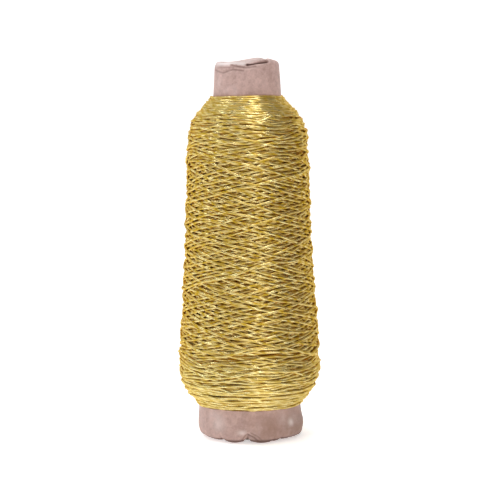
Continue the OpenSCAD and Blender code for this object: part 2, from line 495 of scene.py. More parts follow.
    def _rest(self, steps: np.ndarray, s: np.ndarray, behind: np.ndarray) -> np.ndarray:
        """Rests a traverse on what lies below it, pulls it straight and adds it to the surface.

        Args:
            steps: Step numbers of the traverse.
            s: Its course.
            behind: Radii of the thread just before it.

        Returns:
            The height of the thread's middle at each step.
        """
        half, high = self.thread.bed_width / 2, self.thread.bed_thickness / 2
        reach = math.ceil(half / self.ROW)
        offsets = np.arange(-reach, reach + 1)
        columns, heights = steps % self.COLUMNS, np.empty(len(s))
        stretch = self.COLUMNS // 2
        for a in range(0, len(s), stretch):
            part = slice(a, min(a + stretch, len(s)))
            rows = np.clip(self._row_of(s[part])[:, None] + offsets, 0, len(self.rows) - 1)
            aside = self.rows[rows] - s[part, None]
            round_top = high * np.sqrt(np.maximum(1 - (aside / half) ** 2, 0.0))
            under = np.abs(aside) < half
            below = self.surface[rows, columns[part, None]]
            carried = np.where(under, below + round_top, self.NOWHERE).max(axis=1)
            radius = self._pulled_straight(behind, self.place(s[part], carried)[0])
            behind = radius[-self.TAIL :]
            out = self._along(s[part], self.table_out_r)
            heights[part] = (radius - self._along(s[part], self.table_r)) / out
            top = np.where(under, heights[part, None] + round_top, self.NOWHERE)
            for k in range(len(offsets)):
                spot = (rows[:, k], columns[part])
                self.surface[spot] = np.maximum(self.surface[spot], top[:, k])
        return heights

    def _pulled_straight(self, behind: np.ndarray, carried: np.ndarray) -> np.ndarray:
        """Pulls a stretch straight between the places that carry it.

        Args:
            behind: Radii of the stretch before it, which stay.
            carried: Least radius at each step.

        Returns:
            The radii after the pull.
        """
        radius, fixed = np.concatenate([behind, carried]), len(behind)
        for _ in range(self.PULL_PASSES):
            for k in self.PULLS:
                if len(radius) <= 2 * k:
                    continue
                a, b = radius[: -2 * k], radius[2 * k :]
                chord = 2 * a * b * math.cos(k * self.step) / (a + b)
                radius[k:-k] = np.maximum(radius[k:-k], chord)
                radius[:fixed] = behind
        return radius[fixed:]

    def lay(self) -> ThreadRoute:
        """Lays all the traverses.

        Returns:
            The route of the thread's middle.
        """
        guide = self.guide
        phases = [TURN * ((k // 2 * GOLDEN) % 1) + (guide.down_phase if k % 2 else 0.0)
                  + self.rng.normal(0.0, guide.phase_jitter) for k in range(guide.traverses + 1)]
        turn = self._turn_at(guide.edge_margin)
        angle = phases[0] - (self._turn_at(self.length / 2) - turn)
        first = math.ceil(angle / self.step)
        laid, radius, z = [], [], []
        behind = np.empty(0)
        for k in range(guide.traverses):
            fill, left = self._fill(), guide.traverses - 1 - k
            if left > 1:
                end = self._next_end(turn, angle, phases[k + 1] - phases[k], k % 2 == 0, fill)
            elif left == 1:
                end = self._turn_at(guide.edge_margin)
            else:
                turn, end = np.interp([guide.edge_margin, self.length - guide.edge_margin],
                                      self.table_s, self.closing_turn)
            end_angle = angle + abs(end - turn)
            if left == 0:
                end_angle += (guide.tail_direction - end_angle) % TURN
            last = math.ceil(end_angle / self.step)
            steps = np.arange(first, last)
            s = self._guided(steps, (angle, end_angle), (turn, end), left == 0)
            s = self._slide(steps, s, fill, left == 0)
            heights = self._rest(steps, s, behind)
            traverse_radius, traverse_z = self.place(s, heights - self._settled(s))
            laid.append(steps)
            radius.append(traverse_radius)
            z.append(traverse_z)
            behind = self.place(s, heights)[0][-self.TAIL :]
            turn, angle, first = end, end_angle, last
        return ThreadRoute(np.concatenate(laid) * self.step, np.concatenate(z), np.concatenate(radius))


@dataclass(frozen=True)
class Grain:
    """Noise of one fineness: waves per unit, finer octaves, stretch and the range that shows."""

    scale: float = 1.0
    detail: float = 4.0
    roughness: float = 0.55
    stretch: Place = (1.0, 1.0, 1.0)
    shown: Range = (0.0, 1.0)


class Value:
    """A value socket that Python's operators turn into Math nodes."""

    def __init__(self, graph: "Graph", socket: bpy.types.NodeSocket) -> None:
        """Wraps a socket of a graph."""
        self.graph, self.socket = graph, socket

    def math(self, operation: str, *others: "Value | float", clamp: bool = False) -> "Value":
        """Adds a Math node on this value.

        Args:
            operation: The node's operation.
            others: Its further inputs.
            clamp: Whether the result is kept between 0 and 1.

        Returns:
            The node's result.
        """
        inputs = dict(enumerate((self, *others)))
        node = self.graph.node("ShaderNodeMath", {"operation": operation, "use_clamp": clamp}, inputs)
        return Value(self.graph, node.outputs[0])

    def __add__(self, other: "Value | float") -> "Value":
        """Sum."""
        return self.math("ADD", other)

    def __sub__(self, other: "Value | float") -> "Value":
        """Difference."""
        return self.math("SUBTRACT", other)

    def __mul__(self, other: "Value | float") -> "Value":
        """Product."""
        return self.math("MULTIPLY", other)

    def between(self, low: float, high: float) -> "Value":
        """Share of the way from a low to a high value, kept between 0 and 1."""
        scale = 1 / (high - low)
        return self.math("MULTIPLY_ADD", scale, -low * scale, clamp=True)


class Graph:
    """Node tree of one material, with one method that makes its nodes."""

    def __init__(self, name: str) -> None:
        """Makes an empty material.

        Args:
            name: Name of the material.
        """
        self.material = bpy.data.materials.new(name)
        self.material.use_nodes = True
        self.tree = self.material.node_tree
        self.tree.nodes.clear()

    def node(self, kind: str, settings: Mapping[str, object] | None = None,
             inputs: Mapping[str | int, object] | None = None) -> bpy.types.Node:
        """Adds a node.

        Args:
            kind: The node's type.
            settings: Its properties.
            inputs: Values, sockets or wrapped values of its sockets, by name or number.

        Returns:
            The node.
        """
        made = self.tree.nodes.new(kind)
        for name, setting in (settings or {}).items():
            setattr(made, name, setting)
        for key, value in (inputs or {}).items():
            source = value.socket if isinstance(value, Value) else value
            if isinstance(source, bpy.types.NodeSocket):
                self.tree.links.new(source, made.inputs[key])
            else:
                made.inputs[key].default_value = source
        return made

    def object_place(self) -> bpy.types.NodeSocket:
        """Object coordinates."""
        return self.node("ShaderNodeTexCoord").outputs["Object"]

    def axis(self, place: bpy.types.NodeSocket, name: str) -> Value:
        """One axis of coordinates."""
        return Value(self, self.node("ShaderNodeSeparateXYZ", None, {0: place}).outputs[name])

    def noise(self, place: bpy.types.NodeSocket, grain: Grain) -> Value:
        """Noise of a given fineness.

        Args:
            place: Coordinates.
            grain: Fineness and stretch of the noise.

        Returns:
            The noise, about 0.5 on average.
        """
        mapping = self.node("ShaderNodeMapping", None, {"Vector": place, "Scale": grain.stretch})
        inputs = {"Vector": mapping.outputs[0], "Scale": grain.scale, "Detail": grain.detail,
                  "Roughness": grain.roughness}
        return Value(self, self.node("ShaderNodeTexNoise", None, inputs).outputs["Fac"])

    @staticmethod
    def _opaque(colour: object) -> object:
        """A colour with full alpha, or a socket as it is."""
        return (*colour, 1.0) if isinstance(colour, tuple) else colour

    def mix(self, share: Value, low: object, high: object) -> bpy.types.NodeSocket:
        """Mixes two colours.

        Args:
            share: 0 for the first and 1 for the second.
            low: First colour or socket.
            high: Second colour or socket.

        Returns:
            The mixed colour.
        """
        inputs = {"Factor": share, "A": self._opaque(low), "B": self._opaque(high)}
        return self.node("ShaderNodeMix", {"data_type": "RGBA"}, inputs).outputs["Result"]

    def bump(self, height: Value, strength: float, distance: float) -> bpy.types.NodeSocket:
        """Turns a height into a bent normal."""
        inputs = {"Height": height, "Strength": strength, "Distance": distance}
        return self.node("ShaderNodeBump", None, inputs).outputs[0]

    def surface(self, inputs: Mapping[str, object]) -> bpy.types.Material:
        """Ends the tree in a Principled shader.

        Args:
            inputs: Values and links of the shader.

        Returns:
            The finished material.
        """
        shader = self.node("ShaderNodeBsdfPrincipled", None, inputs)
        self.node("ShaderNodeOutputMaterial", None, {"Surface": shader.outputs[0]})
        return self.material


@dataclass(frozen=True)
class GoldThread:
    """Bright metallised film, twisted into a thread, with painted shade in its twist's grooves and on
    each turn's inner side, and painted light towards both ends of the package.
    """

    name: str = "gold_film_thread"
    bright: Colour = (0.78, 0.665, 0.31)
    # Painted shade: the colour of the grooves of the twist and the crinkles.
    deep: Colour = (0.50, 0.325, 0.026)
    rosy: Colour = (0.62, 0.44, 0.16)
    edge: Colour = (0.87, 0.67, 0.31)
    # Painted shade: an orange brown on each turn's inner side and flanks, where it lies between other
    # turns, for their shade and the gold light bounced among them.
    valley: Colour = (0.86, 0.40, 0.004)
    valley_shade_zone: Range = (0.45, -0.35)
    valley_shade_share: float = 0.9
    # Painted light: a paler colour towards both ends of the package, where the level turns shade each
    # other less.
    pale: Colour = (0.80, 0.75, 0.37)
    lit_end_middle: float = 92.0 * MM
    lit_end_zone: Range = (40.0 * MM, 70.0 * MM)
    lit_end_share: float = 0.22
    kinks: Grain = Grain(detail=2.0, stretch=(0.7, 0.0, 1.0))
    kink_turns: float = 2.5
    crinkles: Grain = Grain(detail=3.0, stretch=(2.2, 1.2, 1.0), shown=(0.35, 0.65))
    patches: Grain = Grain(detail=3.0, stretch=(0.16, 0.0, 1.0), shown=(0.45, 0.7))
    twist_shown: Range = (-0.9, 0.9)
    twist_share: float = 0.5
    facet_shown: Range = (0.08, 0.9)
    roughness: Range = (0.25, 0.46)
    metallic: float = 0.85
    specular: float = 0.1
    twist_relief: float = 0.45
    crinkle_relief: float = 1.2
    bump_strength: float = 0.65
    bump_distance: float = 0.12 * MM
    map_name: str = "Thread"

    def material(self) -> bpy.types.Material:
        """Builds the material.

        Returns:
            The finished material.
        """
        graph = Graph(self.name)
        skin = graph.node("ShaderNodeUVMap", {"uv_map": self.map_name}).outputs[0]
        along, around = graph.axis(skin, "X"), graph.axis(skin, "Y")
        height = graph.axis(graph.object_place(), "Z")
        crinkles = graph.noise(skin, self.crinkles)
        patches = graph.noise(skin, self.patches)
        kinks = graph.noise(skin, self.kinks) * self.kink_turns
        twist = ((along + around + kinks) * TURN).math("SINE")
        # The facet mask paints shade: the deep colour in the grooves of the twist and crinkles, the
        # film's colour on their glossier crests.
        facet = twist.between(*self.twist_shown) * self.twist_share
        facet = facet + crinkles.between(*self.crinkles.shown) * (1 - self.twist_share)
        facet = facet.between(*self.facet_shown)
        film = graph.mix(patches.between(*self.patches.shown), self.bright, self.rosy)
        # Painted shade on the inner side and flanks of each turn, where it lies between the turns.
        valley = (around * TURN).math("SINE").between(*self.valley_shade_zone) * self.valley_shade_share
        # Painted light: the colour turns paler towards both ends of the package.
        ends = (height - self.lit_end_middle).math("ABSOLUTE").between(*self.lit_end_zone)
        colour = graph.mix(valley, graph.mix(facet, self.deep, film), self.valley)
        colour = graph.mix(ends * self.lit_end_share, colour, self.pale)
        smooth, dull = self.roughness
        relief = twist * self.twist_relief + crinkles * self.crinkle_relief
        return graph.surface({
            "Base Color": colour,
            "Metallic": self.metallic,
            "Roughness": facet * (smooth - dull) + dull,
            "Specular IOR Level": self.specular,
            "Specular Tint": (*self.edge, 1.0),
            "Normal": graph.bump(relief, self.bump_strength, self.bump_distance),
        })


@dataclass(frozen=True)
class InnerThread:
    """Inner turns that show through the gaps of the outer ones, painted a darker, browner gold as the
    shade in the gaps, with painted shade between the turns and painted glints.
    """

    name: str = "inner_thread_turns"
    # Painted shade: both colours are darker and browner than the outer thread's.
    bright: Colour = (0.80, 0.40, 0.012)
    deep: Colour = (0.48, 0.20, 0.003)
    pitch: float = 1.3 * MM
    sway: Grain = Grain(60.0)
    sway_turns: float = 3.0
    glints: Grain = Grain(500.0, stretch=(1.0, 1.0, 4.0), shown=(0.3, 0.8))
    metallic: float = 0.4
    roughness: float = 0.5
    specular: float = 0.05
    bump_strength: float = 0.8
    bump_distance: float = 0.3 * MM

    def material(self) -> bpy.types.Material:
        """Builds the material.

        Returns:
            The finished material.
        """
        graph = Graph(self.name)
        place = graph.object_place()
        sway = graph.noise(place, self.sway) * self.sway_turns
        turns = ((graph.axis(place, "Z") * (1 / self.pitch) + sway) * TURN).math("SINE")
        glints = graph.noise(place, self.glints).between(*self.glints.shown)
        return graph.surface({
            "Base Color": graph.mix(turns.between(*SINE_RANGE) * glints, self.deep, self.bright),
            "Metallic": self.metallic,
            "Roughness": self.roughness,
            "Specular IOR Level": self.specular,
            "Normal": graph.bump(turns, self.bump_strength, self.bump_distance),
        })


@dataclass(frozen=True)
class Paper:
    """Matt fibrous paper with blotches and fibres, painted shade at the foot and in the creases, and
    painted sheen on some patches.
    """

    name: str
    pale: Colour
    dark: Colour
    # Colour of the painted shade in creases and on the base's lower edge.
    crease: Colour
    # Colour of the painted sheen on a few patches.
    sheen: Colour = (0.88, 0.79, 0.77)
    bloom: Colour = (0.78, 0.63, 0.63)
    bloom_grain: Grain = Grain(75.0, 2.0, stretch=(1.0, 1.0, 0.8), shown=(0.55, 0.72))
    bloom_share: float = 0.6
    # Painted shade, in patches, darker towards the foot of the cone and towards its right side.
    foot_shade: Colour = (0.30, 0.175, 0.13)
    foot_shade_grain: Grain = Grain(48.0, 5.0, 0.65, shown=(0.36, 0.6))
    foot_shade_height: Range = (24.0 * MM, 6.0 * MM)
    foot_shade_side: Range = (-18.0 * MM, 6.0 * MM)
    foot_shade_share: float = 0.85
    blotches: Grain = Grain(120.0, 5.0, 0.6, shown=(0.31, 0.69))
    specks: Grain = Grain(420.0, 3.0, 0.6)
    speck_share: float = 0.5
    fibres: Grain = Grain(1100.0, 3.0, 0.7, shown=(0.3, 0.7))
    fibre_share: float = 0.3
    roughness: Range = (0.45, 0.75)
    rough_shown: Range = (0.35, 0.65)
    specular: float = 0.35
    fibre_relief: float = 0.1
    bloom_relief: float = 0.8
    bump_strength: float = 0.45
    bump_distance: float = 0.8 * MM
    fold_map: str = "fold"

    def material(self) -> bpy.types.Material:
        """Builds the material.

        Returns:
            The finished material.
        """
        graph = Graph(self.name)
        place = graph.object_place()
        fibres = graph.noise(place, self.fibres)
        bloom = graph.noise(place, self.bloom_grain)
        blotches = graph.noise(place, self.blotches) * (1 - self.speck_share)
        blotches = blotches + graph.noise(place, self.specks) * self.speck_share
        shade = blotches.between(*self.blotches.shown) * (1 - self.fibre_share)
        shade = shade + fibres.between(*self.fibres.shown) * self.fibre_share
        colour = graph.mix(shade, self.dark, self.pale)
        colour = graph.mix(bloom.between(*self.bloom_grain.shown) * self.bloom_share, colour, self.bloom)
        # Painted shade: patches that darken towards the foot and the right side.
        foot_shade = graph.noise(place, self.foot_shade_grain).between(*self.foot_shade_grain.shown)
        foot_shade = foot_shade * graph.axis(place, "Z").between(*self.foot_shade_height)
        foot_shade = foot_shade * graph.axis(place, "X").between(*self.foot_shade_side)
        colour = graph.mix(foot_shade * self.foot_shade_share, colour, self.foot_shade)
        # Point attribute: painted shade where positive, painted sheen where negative.
        folds = graph.node("ShaderNodeAttribute", {"attribute_name": self.fold_map})
        fold = Value(graph, folds.outputs["Fac"])
        colour = graph.mix(fold.between(0.0, 1.0), colour, self.crease)
        colour = graph.mix(fold.between(0.0, -1.0), colour, self.sheen)
        smooth, dull = self.roughness
        relief = fibres * self.fibre_relief + blotches + bloom * self.bloom_relief
        return graph.surface({
            "Base Color": colour,
            "Roughness": blotches.between(*self.rough_shown) * (dull - smooth) + smooth,
            "Specular IOR Level": self.specular,
            "Normal": graph.bump(relief, self.bump_strength, self.bump_distance),
        })


def replace_with(piece: bpy.types.Object, nodes: Sequence[str]) -> None:
    """Sets a piece on the body in place of CAD nodes.

    Args:
        piece: The piece.
        nodes: CAD nodes that it stands for.
    """
    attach(piece, BODY)
    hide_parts(*nodes)
    LOG.info("%s: %d faces", piece.name, len(piece.data.polygons))


def spun(name: str, outline: np.ndarray, steps: int) -> bpy.types.Object:
    """Draws an outline point by point and spins it about the cone's axis.

    Args:
        name: Name of the new piece.
        outline: Radius and height of each point, with the outside on its left.
        steps: Number of stretches around the axis.

    Returns:
        A closed ring of faces that point outwards.
    """
    bpy.ops.object.select_all(action="DESELECT")
    start = Vector((outline[0][0], 0.0, outline[0][1]))
    bpy.ops.mesh.primitive_plane_add(size=MM, location=start)
    piece = bpy.context.object
    piece.name = piece.data.name = name
    bpy.ops.object.transform_apply(location=True, rotation=True, scale=True)
    bpy.ops.object.mode_set(mode="EDIT")
    bpy.ops.mesh.select_mode(type="VERT")
    bpy.ops.mesh.select_all(action="SELECT")
    bpy.ops.mesh.merge(type="CENTER")
    for radius_step, height_step in np.diff(outline, axis=0):
        move = {"value": (float(radius_step), 0.0, float(height_step))}
        bpy.ops.mesh.extrude_region_move(TRANSFORM_OT_translate=move)
    bpy.ops.mesh.select_all(action="SELECT")
    bpy.ops.mesh.spin(steps=steps, angle=TURN, center=(0.0, 0.0, 0.0), axis=(0.0, 0.0, 1.0))
    bpy.ops.mesh.select_all(action="SELECT")
    bpy.ops.mesh.remove_doubles(threshold=WELD)
    bpy.ops.mesh.normals_make_consistent(inside=False)
    bpy.ops.object.mode_set(mode="OBJECT")
    return piece


@dataclass
class SheetProfile:
    """Half section of a folded sheet: places, outward directions and stations along it.

    A station is the length along the outermost face from the middle of the base's outer corner,
    positive up the wall.
    """

    places: np.ndarray
    outward: np.ndarray
    stations: np.ndarray

    def at_depth(self, depth: float) -> np.ndarray:
        """Places at a depth below the outermost face."""
        return self.places - depth * self.outward


class SectionPen:
    """Draws a half section point by point, with the outward direction of each point."""

    LEAST_BEND = 2

    def __init__(self) -> None:
        """Starts an empty section."""
        self.places: list[Point] = []
        self.outward: list[Point] = []

    def dot(self, x: float, z: float, facing: float) -> None:
        """Adds one point."""
        self.places.append((x, z))
        self.outward.append((math.cos(facing), math.sin(facing)))

    def line(self, a: Point, b: Point, facing: float, step: float) -> None:
        """Adds a straight stretch without its last point.

        Args:
            a: First point.
            b: Last point.
            facing: Angle of the outward direction.
            step: Greatest distance between points.
        """
        n = max(1, math.ceil(math.dist(a, b) / step))
        for k in range(n):
            self.dot(a[0] + (b[0] - a[0]) * k / n, a[1] + (b[1] - a[1]) * k / n, facing)

    def bend(self, middle: Point, radius: float, first: float, last: float, step: float) -> None:
        """Adds a round stretch without its last point.

        Args:
            middle: Middle of the arc.
            radius: Radius of the arc.
            first: Angle of its first point.
            last: Angle of its last point.
            step: Greatest distance between points.
        """
        n = max(self.LEAST_BEND, math.ceil(radius * abs(last - first) / step))
        for angle in np.linspace(first, last, n + 1)[:-1]:
            self.dot(middle[0] + radius * math.cos(angle), middle[1] + radius * math.sin(angle), angle)


@dataclass(frozen=True)
class Pleat:
    """A sharp valley in a broad hollow, gathered into the rolled edge of the base, with painted shade
    along its crease.
    """

    azimuth: float
    depth: float
    half_width: float
    climb: float
    lean: float = 0.0
    hollow_share: float = 0.4
    hollow_width: float = 2.6
    inner_share: float = 0.35
    inner_run: float = 4.0
    narrowing: float = 0.6
    shade: float = 0.6
    shade_width: float = 0.5

    def press(self, sheet: "SheetPoints") -> tuple[np.ndarray, np.ndarray]:
        """Depth that the pleat presses in at each point, and how much painted shade it gets there.

        Args:
            sheet: Points of the sheet.

        Returns:
            The depth and the share of painted shade.
        """
        up = np.clip(sheet.station / self.climb, 0.0, 1.0)
        arc = np.abs(sheet.arc_from(self.azimuth + self.lean * up)) / self.half_width
        aside = arc / (1 - self.narrowing * up)
        inside = smooth_step(-sheet.station / (self.inner_run * self.half_width))
        along = smooth_step(1 - up) * (1 - (1 - self.inner_share) * inside) * (sheet.z < sheet.middle_z)
        valley = np.clip(1 - aside, 0.0, 1.0)
        hollow = np.exp(-((arc / self.hollow_width) ** 2))
        pressed = (1 - self.hollow_share) * valley + self.hollow_share * hollow
        creased = np.clip(1 - aside / self.shade_width, 0.0, 1.0)
        return self.depth * along * pressed, self.shade * along * creased


@dataclass(frozen=True)
class Crease:
    """A groove pressed into the outside along a line of azimuths in degrees and heights, with painted
    shade along it.
    """

    line: tuple[Point, ...]
    depth: float
    half_width: float
    shade: float = 0.3
    shade_fade: float = 1.6

    def press(self, sheet: "SheetPoints") -> tuple[np.ndarray, np.ndarray]:
        """Depth that the crease presses in at each point, and how much painted shade it gets there.

        Args:
            sheet: Points of the sheet.

        Returns:
            The depth and the share of painted shade.
        """
        nearest = np.full(len(sheet.z), np.inf)
        for (azimuth_a, z_a), (azimuth_b, z_b) in zip(self.line[:-1], self.line[1:]):
            a = np.stack([sheet.arc_from(azimuth_a), sheet.z - z_a])
            run = np.stack([sheet.arc_from(azimuth_a) - sheet.arc_from(azimuth_b),
                            np.full(len(sheet.z), z_b - z_a)])
            share = np.clip((a * run).sum(axis=0) / (run * run).sum(axis=0), 0.0, 1.0)
            nearest = np.minimum(nearest, np.hypot(*(a - share * run)))
        groove = np.exp(-((nearest / self.half_width) ** 2)) * sheet.outside
        creased = np.clip(1 - self.shade_fade * (1 - groove), 0.0, 1.0)
        return self.depth * groove, self.shade * creased


@dataclass(frozen=True)
class Dent:
    """A soft hollow in the outside, or a bulge where its depth is negative, that may carry a painted
    sheen.
    """

    azimuth: float
    height: float
    depth: float
    half_width: float
    half_height: float
    sheen: float = 0.0

    def press(self, sheet: "SheetPoints") -> tuple[np.ndarray, np.ndarray]:
        """Depth that the dent presses in at each point, and how much painted sheen it gets there.

        Args:
            sheet: Points of the sheet.

        Returns:
            The depth and the share of painted shade, which is negative where the paper gets a painted
            sheen.
        """
        aside = sheet.arc_from(self.azimuth) / self.half_width
        above = (sheet.z - self.height) / self.half_height
        bell = np.exp(-aside * aside - above * above)
        return self.depth * bell, -self.sheen * bell * sheet.outside


@dataclass
class SheetPoints:
    """Points of a spun sheet before it is pressed."""

    azimuth: np.ndarray
    radius: np.ndarray
    z: np.ndarray
    station: np.ndarray
    outside: np.ndarray
    middle_z: float

    def arc_from(self, azimuth: np.ndarray | float) -> np.ndarray:
        """Length around the sheet from a direction in degrees, the short way."""
        off = self.azimuth - np.radians(azimuth)
        return self.radius * ((off + math.pi) % TURN - math.pi)


@dataclass(frozen=True)
class Wave:
    """A wave of the paper around the cone, which turns with the height."""

    count: int
    rate: float
    phase: float


@dataclass
class PaperCone:
    """The rolled paper cone: cover, board and liner, turned in at the nose and the base."""

    wall: ConeWall
    cover_t: float = 0.6 * MM
    board_t: float = 0.8 * MM
    nose_tuck: float = 11.0 * MM
    nose_gap: float = 1.0 * MM
    base_tuck: float = 9.0 * MM
    base_gap: float = 3.2 * MM
    base_roll: float = 2.4 * MM
    lap_azimuth: float = 208.0
    lap_width: float = 11.0 * MM
    lap_step: float = 0.25 * MM
    lap_edge: float = 0.4 * MM
    cover_steps: int = 350
    board_steps: int = 240
    finest: float = 0.32 * MM
    fine: float = 0.65 * MM
    coarse: float = 16.0 * MM
    board_coarser: float = 2.0
    nose_creased: float = 158.0 * MM
    nose_shown: float = 151.0 * MM
    base_shown: float = 19.0 * MM
    base_creased: float = 8.0 * MM
    ripple: float = 0.12 * MM
    waves: tuple[Wave, ...] = (Wave(3, 140.0, 0.4), Wave(5, 90.0, 1.9), Wave(8, -210.0, 3.1),
                               Wave(13, 320.0, 5.0))
    outside_facing: float = -0.75
    edge_shade: float = 1.0
    edge_facing: float = 0.05
    edge_fade: float = 0.5
    marks: tuple[Pleat | Crease | Dent, ...] = (
        Pleat(-3.6, 2.9 * MM, 1.6 * MM, 6.5 * MM, lean=2.0, inner_share=1.0, shade=1.0),
        Pleat(-33.0, 1.6 * MM, 1.0 * MM, 4.5 * MM, lean=-4.0, inner_share=0.7, shade=0.9),
        Pleat(26.0, 0.5 * MM, 1.4 * MM, 4.5 * MM, lean=4.0),
        Pleat(37.5, 1.2 * MM, 1.1 * MM, 4.5 * MM, lean=3.0, inner_share=0.7, shade=0.8),
        Pleat(-70.0, 0.8 * MM, 1.8 * MM, 6.0 * MM, lean=-4.0),
        Pleat(74.0, 1.0 * MM, 1.8 * MM, 6.0 * MM, lean=5.0),
        Pleat(101.0, 1.4 * MM, 2.0 * MM, 6.5 * MM, lean=-3.0),
        Pleat(133.0, 1.0 * MM, 1.5 * MM, 5.5 * MM, lean=4.0),
        Pleat(158.0, 1.5 * MM, 1.9 * MM, 7.0 * MM, lean=3.0),
        Pleat(185.0, 0.8 * MM, 1.4 * MM, 4.5 * MM, lean=-4.0),
        Pleat(214.0, 1.3 * MM, 2.0 * MM, 6.5 * MM, lean=3.0),
        Pleat(243.0, 1.0 * MM, 1.5 * MM, 5.0 * MM, lean=-3.0),
        Pleat(267.0, 1.5 * MM, 1.9 * MM, 6.0 * MM, lean=2.0),
        Crease(((-3.0, 4.6 * MM), (4.0, 3.2 * MM), (9.5, 0.9 * MM)), 0.45 * MM, 0.38 * MM, 0.9),
        Crease(((0.5, 5.2 * MM), (8.0, 3.6 * MM), (13.0, 1.6 * MM)), 0.25 * MM, 0.35 * MM, 0.6),
        Crease(((-5.0, 4.2 * MM), (-8.0, 2.6 * MM), (-9.0, 0.8 * MM)), 0.30 * MM, 0.35 * MM, 0.6),
        Dent(84.0, 6.5 * MM, -0.8 * MM, 15.0 * MM, 4.0 * MM),
        Dent(52.0, 0.0 * MM, 0.9 * MM, 8.0 * MM, 3.0 * MM),
        Dent(-78.0, 0.5 * MM, 1.0 * MM, 13.0 * MM, 2.6 * MM),
        Dent(-48.0, 0.0 * MM, 0.5 * MM, 6.0 * MM, 2.5 * MM),
        # A dent's last number is its share of painted sheen: pale patches where light catches the paper.
        Dent(-37.0, 8.5 * MM, -0.15 * MM, 3.2 * MM, 3.4 * MM, 0.35),
        Dent(-9.0, 5.2 * MM, -0.1 * MM, 1.8 * MM, 1.0 * MM, 0.5),
        Dent(50.0, 8.5 * MM, -0.2 * MM, 1.6 * MM, 1.6 * MM, 0.6),
        Dent(20.0, 6.0 * MM, 0.2 * MM, 4.0 * MM, 2.5 * MM),
        Dent(36.0, 11.0 * MM, 0.2 * MM, 3.5 * MM, 2.5 * MM),
        Crease(((0.0, 167.9 * MM), (9.0, 168.3 * MM), (22.0, 168.9 * MM), (42.0, 169.5 * MM)),
               1.7 * MM, 0.6 * MM, 1.0),
        Crease(((-30.0, 167.8 * MM), (-12.0, 167.0 * MM), (-2.0, 166.6 * MM), (15.0, 167.1 * MM)),
               0.50 * MM, 0.60 * MM, 0.45),
        Crease(((-74.0, 165.9 * MM), (-46.0, 164.5 * MM), (-26.0, 165.8 * MM), (-7.0, 165.3 * MM)),
               0.45 * MM, 0.55 * MM, 0.4),
        Crease(((118.0, 166.2 * MM), (150.0, 167.4 * MM), (176.0, 166.4 * MM)), 0.28 * MM, 0.42 * MM),
        Dent(-34.0, 160.5 * MM, 0.35 * MM, 2.2 * MM, 1.3 * MM),
        Dent(-24.0, 162.8 * MM, -0.25 * MM, 2.6 * MM, 1.6 * MM),
        # On the nose's rim, painted sheen lightens the rolled edge where it faces the light.
        Dent(-42.0, 168.9 * MM, 0.8 * MM, 12.0 * MM, 1.2 * MM, 0.9),
        Dent(-10.0, 168.6 * MM, 0.1 * MM, 6.0 * MM, 1.4 * MM, 0.7),
        Dent(-50.0, 170.4 * MM, 0.5 * MM, 9.0 * MM, 0.8 * MM),
        Dent(24.0, 170.6 * MM, -1.6 * MM, 8.0 * MM, 1.2 * MM, 0.7),
        Dent(140.0, 170.0 * MM, 0.8 * MM, 8.0 * MM, 2.0 * MM),
    )
    cover_paper: Paper = Paper("pinkish_cover_paper", (0.72, 0.50, 0.46), (0.36, 0.23, 0.20),
                               (0.15, 0.085, 0.07))
    board_paper: Paper = Paper("grey_board", (0.46, 0.40, 0.35), (0.36, 0.30, 0.26), (0.15, 0.11, 0.09))
    liner_paper: Paper = Paper("kraft_liner", (0.60, 0.50, 0.42), (0.47, 0.37, 0.30), (0.2, 0.14, 0.1))

    def profile(self, fine: float, finest: float) -> SheetProfile:
        """Section of the outermost face, from the neck over the wall to the base's lip.

        Args:
            fine: Distance between points where the paper shows.
            finest: Distance between points where it is creased.

        Returns:
            The section.
        """
        taper, roll, wall = self.wall.taper, self.base_roll, self.wall
        fold_t = self.cover_t + self.board_t
        nose_roll = fold_t + self.nose_gap / 2
        nose_z = wall.height - nose_roll
        nose_x = wall.radius(nose_z) - nose_roll / math.cos(taper)
        outer_x = wall.radius(roll) - roll / math.cos(taper)
        inner_x = outer_x - (2 * fold_t + self.base_gap - 2 * roll)
        neck, lip, half = nose_x - nose_roll, inner_x - roll, math.pi / 2
        top, low = nose_z + nose_roll * math.sin(taper), roll + roll * math.sin(taper)
        pen = SectionPen()
        pen.line((neck, wall.height - self.nose_tuck), (neck, nose_z), math.pi, 2 * fine)
        pen.bend((nose_x, nose_z), nose_roll, math.pi, taper, finest)
        heights = (top, self.nose_creased, self.nose_shown, self.base_shown, self.base_creased, low)
        for a, b, step in zip(heights[:-1], heights[1:], (finest, fine, self.coarse, fine, finest)):
            pen.line((wall.radius(a), a), (wall.radius(b), b), taper, step)
        pen.bend((outer_x, roll), roll, taper, -half / 2, finest)
        corner = len(pen.places)
        pen.bend((outer_x, roll), roll, -half / 2, -half, finest)
        pen.line((outer_x, 0.0), (inner_x, 0.0), -half, fine)
        pen.bend((inner_x, roll), roll, -half, -math.pi, fine)
        pen.line((lip, roll), (lip, self.base_tuck), math.pi, 2 * fine)
        pen.dot(lip, self.base_tuck, math.pi)
        points = np.array(pen.places)
        stations = np.concatenate([[0.0], np.cumsum(np.hypot(*np.diff(points, axis=0).T))])
        return SheetProfile(points, np.array(pen.outward), stations[corner] - stations)

    @staticmethod
    def _nearest(radius: np.ndarray, z: np.ndarray, section: np.ndarray) -> np.ndarray:
        """Finds the nearest point of a section to each point of a sheet.

        Args:
            radius: Radii of the sheet's points.
            z: Heights of the sheet's points.
            section: Places of the section's points.

        Returns:
            The number of the nearest point for each point of the sheet.
        """
        index = np.empty(len(radius), dtype=int)
        for start in range(0, len(radius), CHUNK):
            part = slice(start, start + CHUNK)
            gaps = np.hypot(radius[part, None] - section[:, 0], z[part, None] - section[:, 1])
            index[part] = gaps.argmin(axis=1)
        return index

